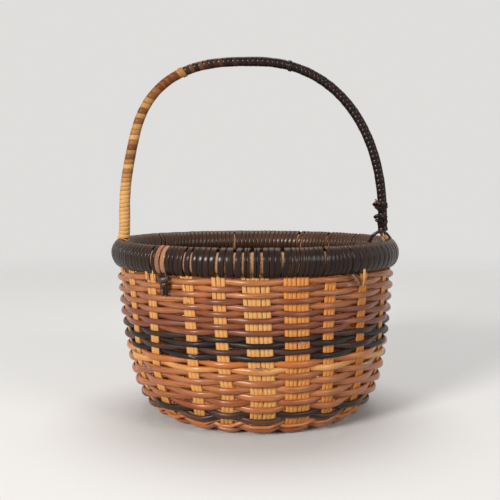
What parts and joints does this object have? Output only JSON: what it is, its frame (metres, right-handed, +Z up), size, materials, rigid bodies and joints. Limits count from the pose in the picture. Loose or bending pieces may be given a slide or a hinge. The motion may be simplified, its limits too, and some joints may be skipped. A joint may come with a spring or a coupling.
{
  "type": "woven basket",
  "caption": "Small round woven wicker basket with a bellied wall, a lashed hoop rim and a fixed, strip-wound bow handle.",
  "frame": {"origin": "on the surface it stands on, under the middle of the rim", "axes": "+Z up, +X to the right along the plane of the bow handle, the front faces -Y"},
  "size_m": [0.1121, 0.1126, 0.1382],
  "materials": {
    "strip_straw": "satin",
    "reed_orange_brown": "satin",
    "reed_honey": "satin",
    "reed_dark_brown": "satin",
    "reed_near_black": "satin",
    "reed_red_brown": "satin",
    "hoop_tan": "satin",
    "strip_dark_brown": "satin",
    "strip_honey": "satin"
  },
  "bodies": {
    "root": {"base_weaver": "reed_orange_brown", "dark_bow_winding": "reed_near_black", "foot_weaver": "reed_honey", "honey_weaver": "reed_honey", "inner_bow_rod": "hoop_tan", "inner_hoop": "hoop_tan", "light_bow_winding": "strip_honey", "lower_dark_weaver": "reed_dark_brown", "lower_orange_weaver": "reed_orange_brown", "outer_bow_rod": "hoop_tan", "outer_hoop": "hoop_tan", "rim_lashing": "strip_dark_brown", "stave_front_to_back_1": "strip_straw", "stave_front_to_back_2": "strip_straw", "stave_front_to_back_3": "strip_straw", "stave_front_to_back_4": "strip_straw", "stave_front_to_back_5": "strip_straw", "stave_front_to_back_6": "strip_straw", "stave_front_to_back_7": "strip_straw", "stave_front_to_back_8": "strip_straw", "stave_side_to_side_1": "strip_straw", "stave_side_to_side_2": "strip_straw", "stave_side_to_side_3": "strip_straw", "stave_side_to_side_4": "strip_straw", "stave_side_to_side_5": "strip_straw", "stave_side_to_side_6": "strip_straw", "upper_brown_weaver": "reed_red_brown", "upper_dark_weaver": "reed_near_black"}
  },
  "joints": []
}
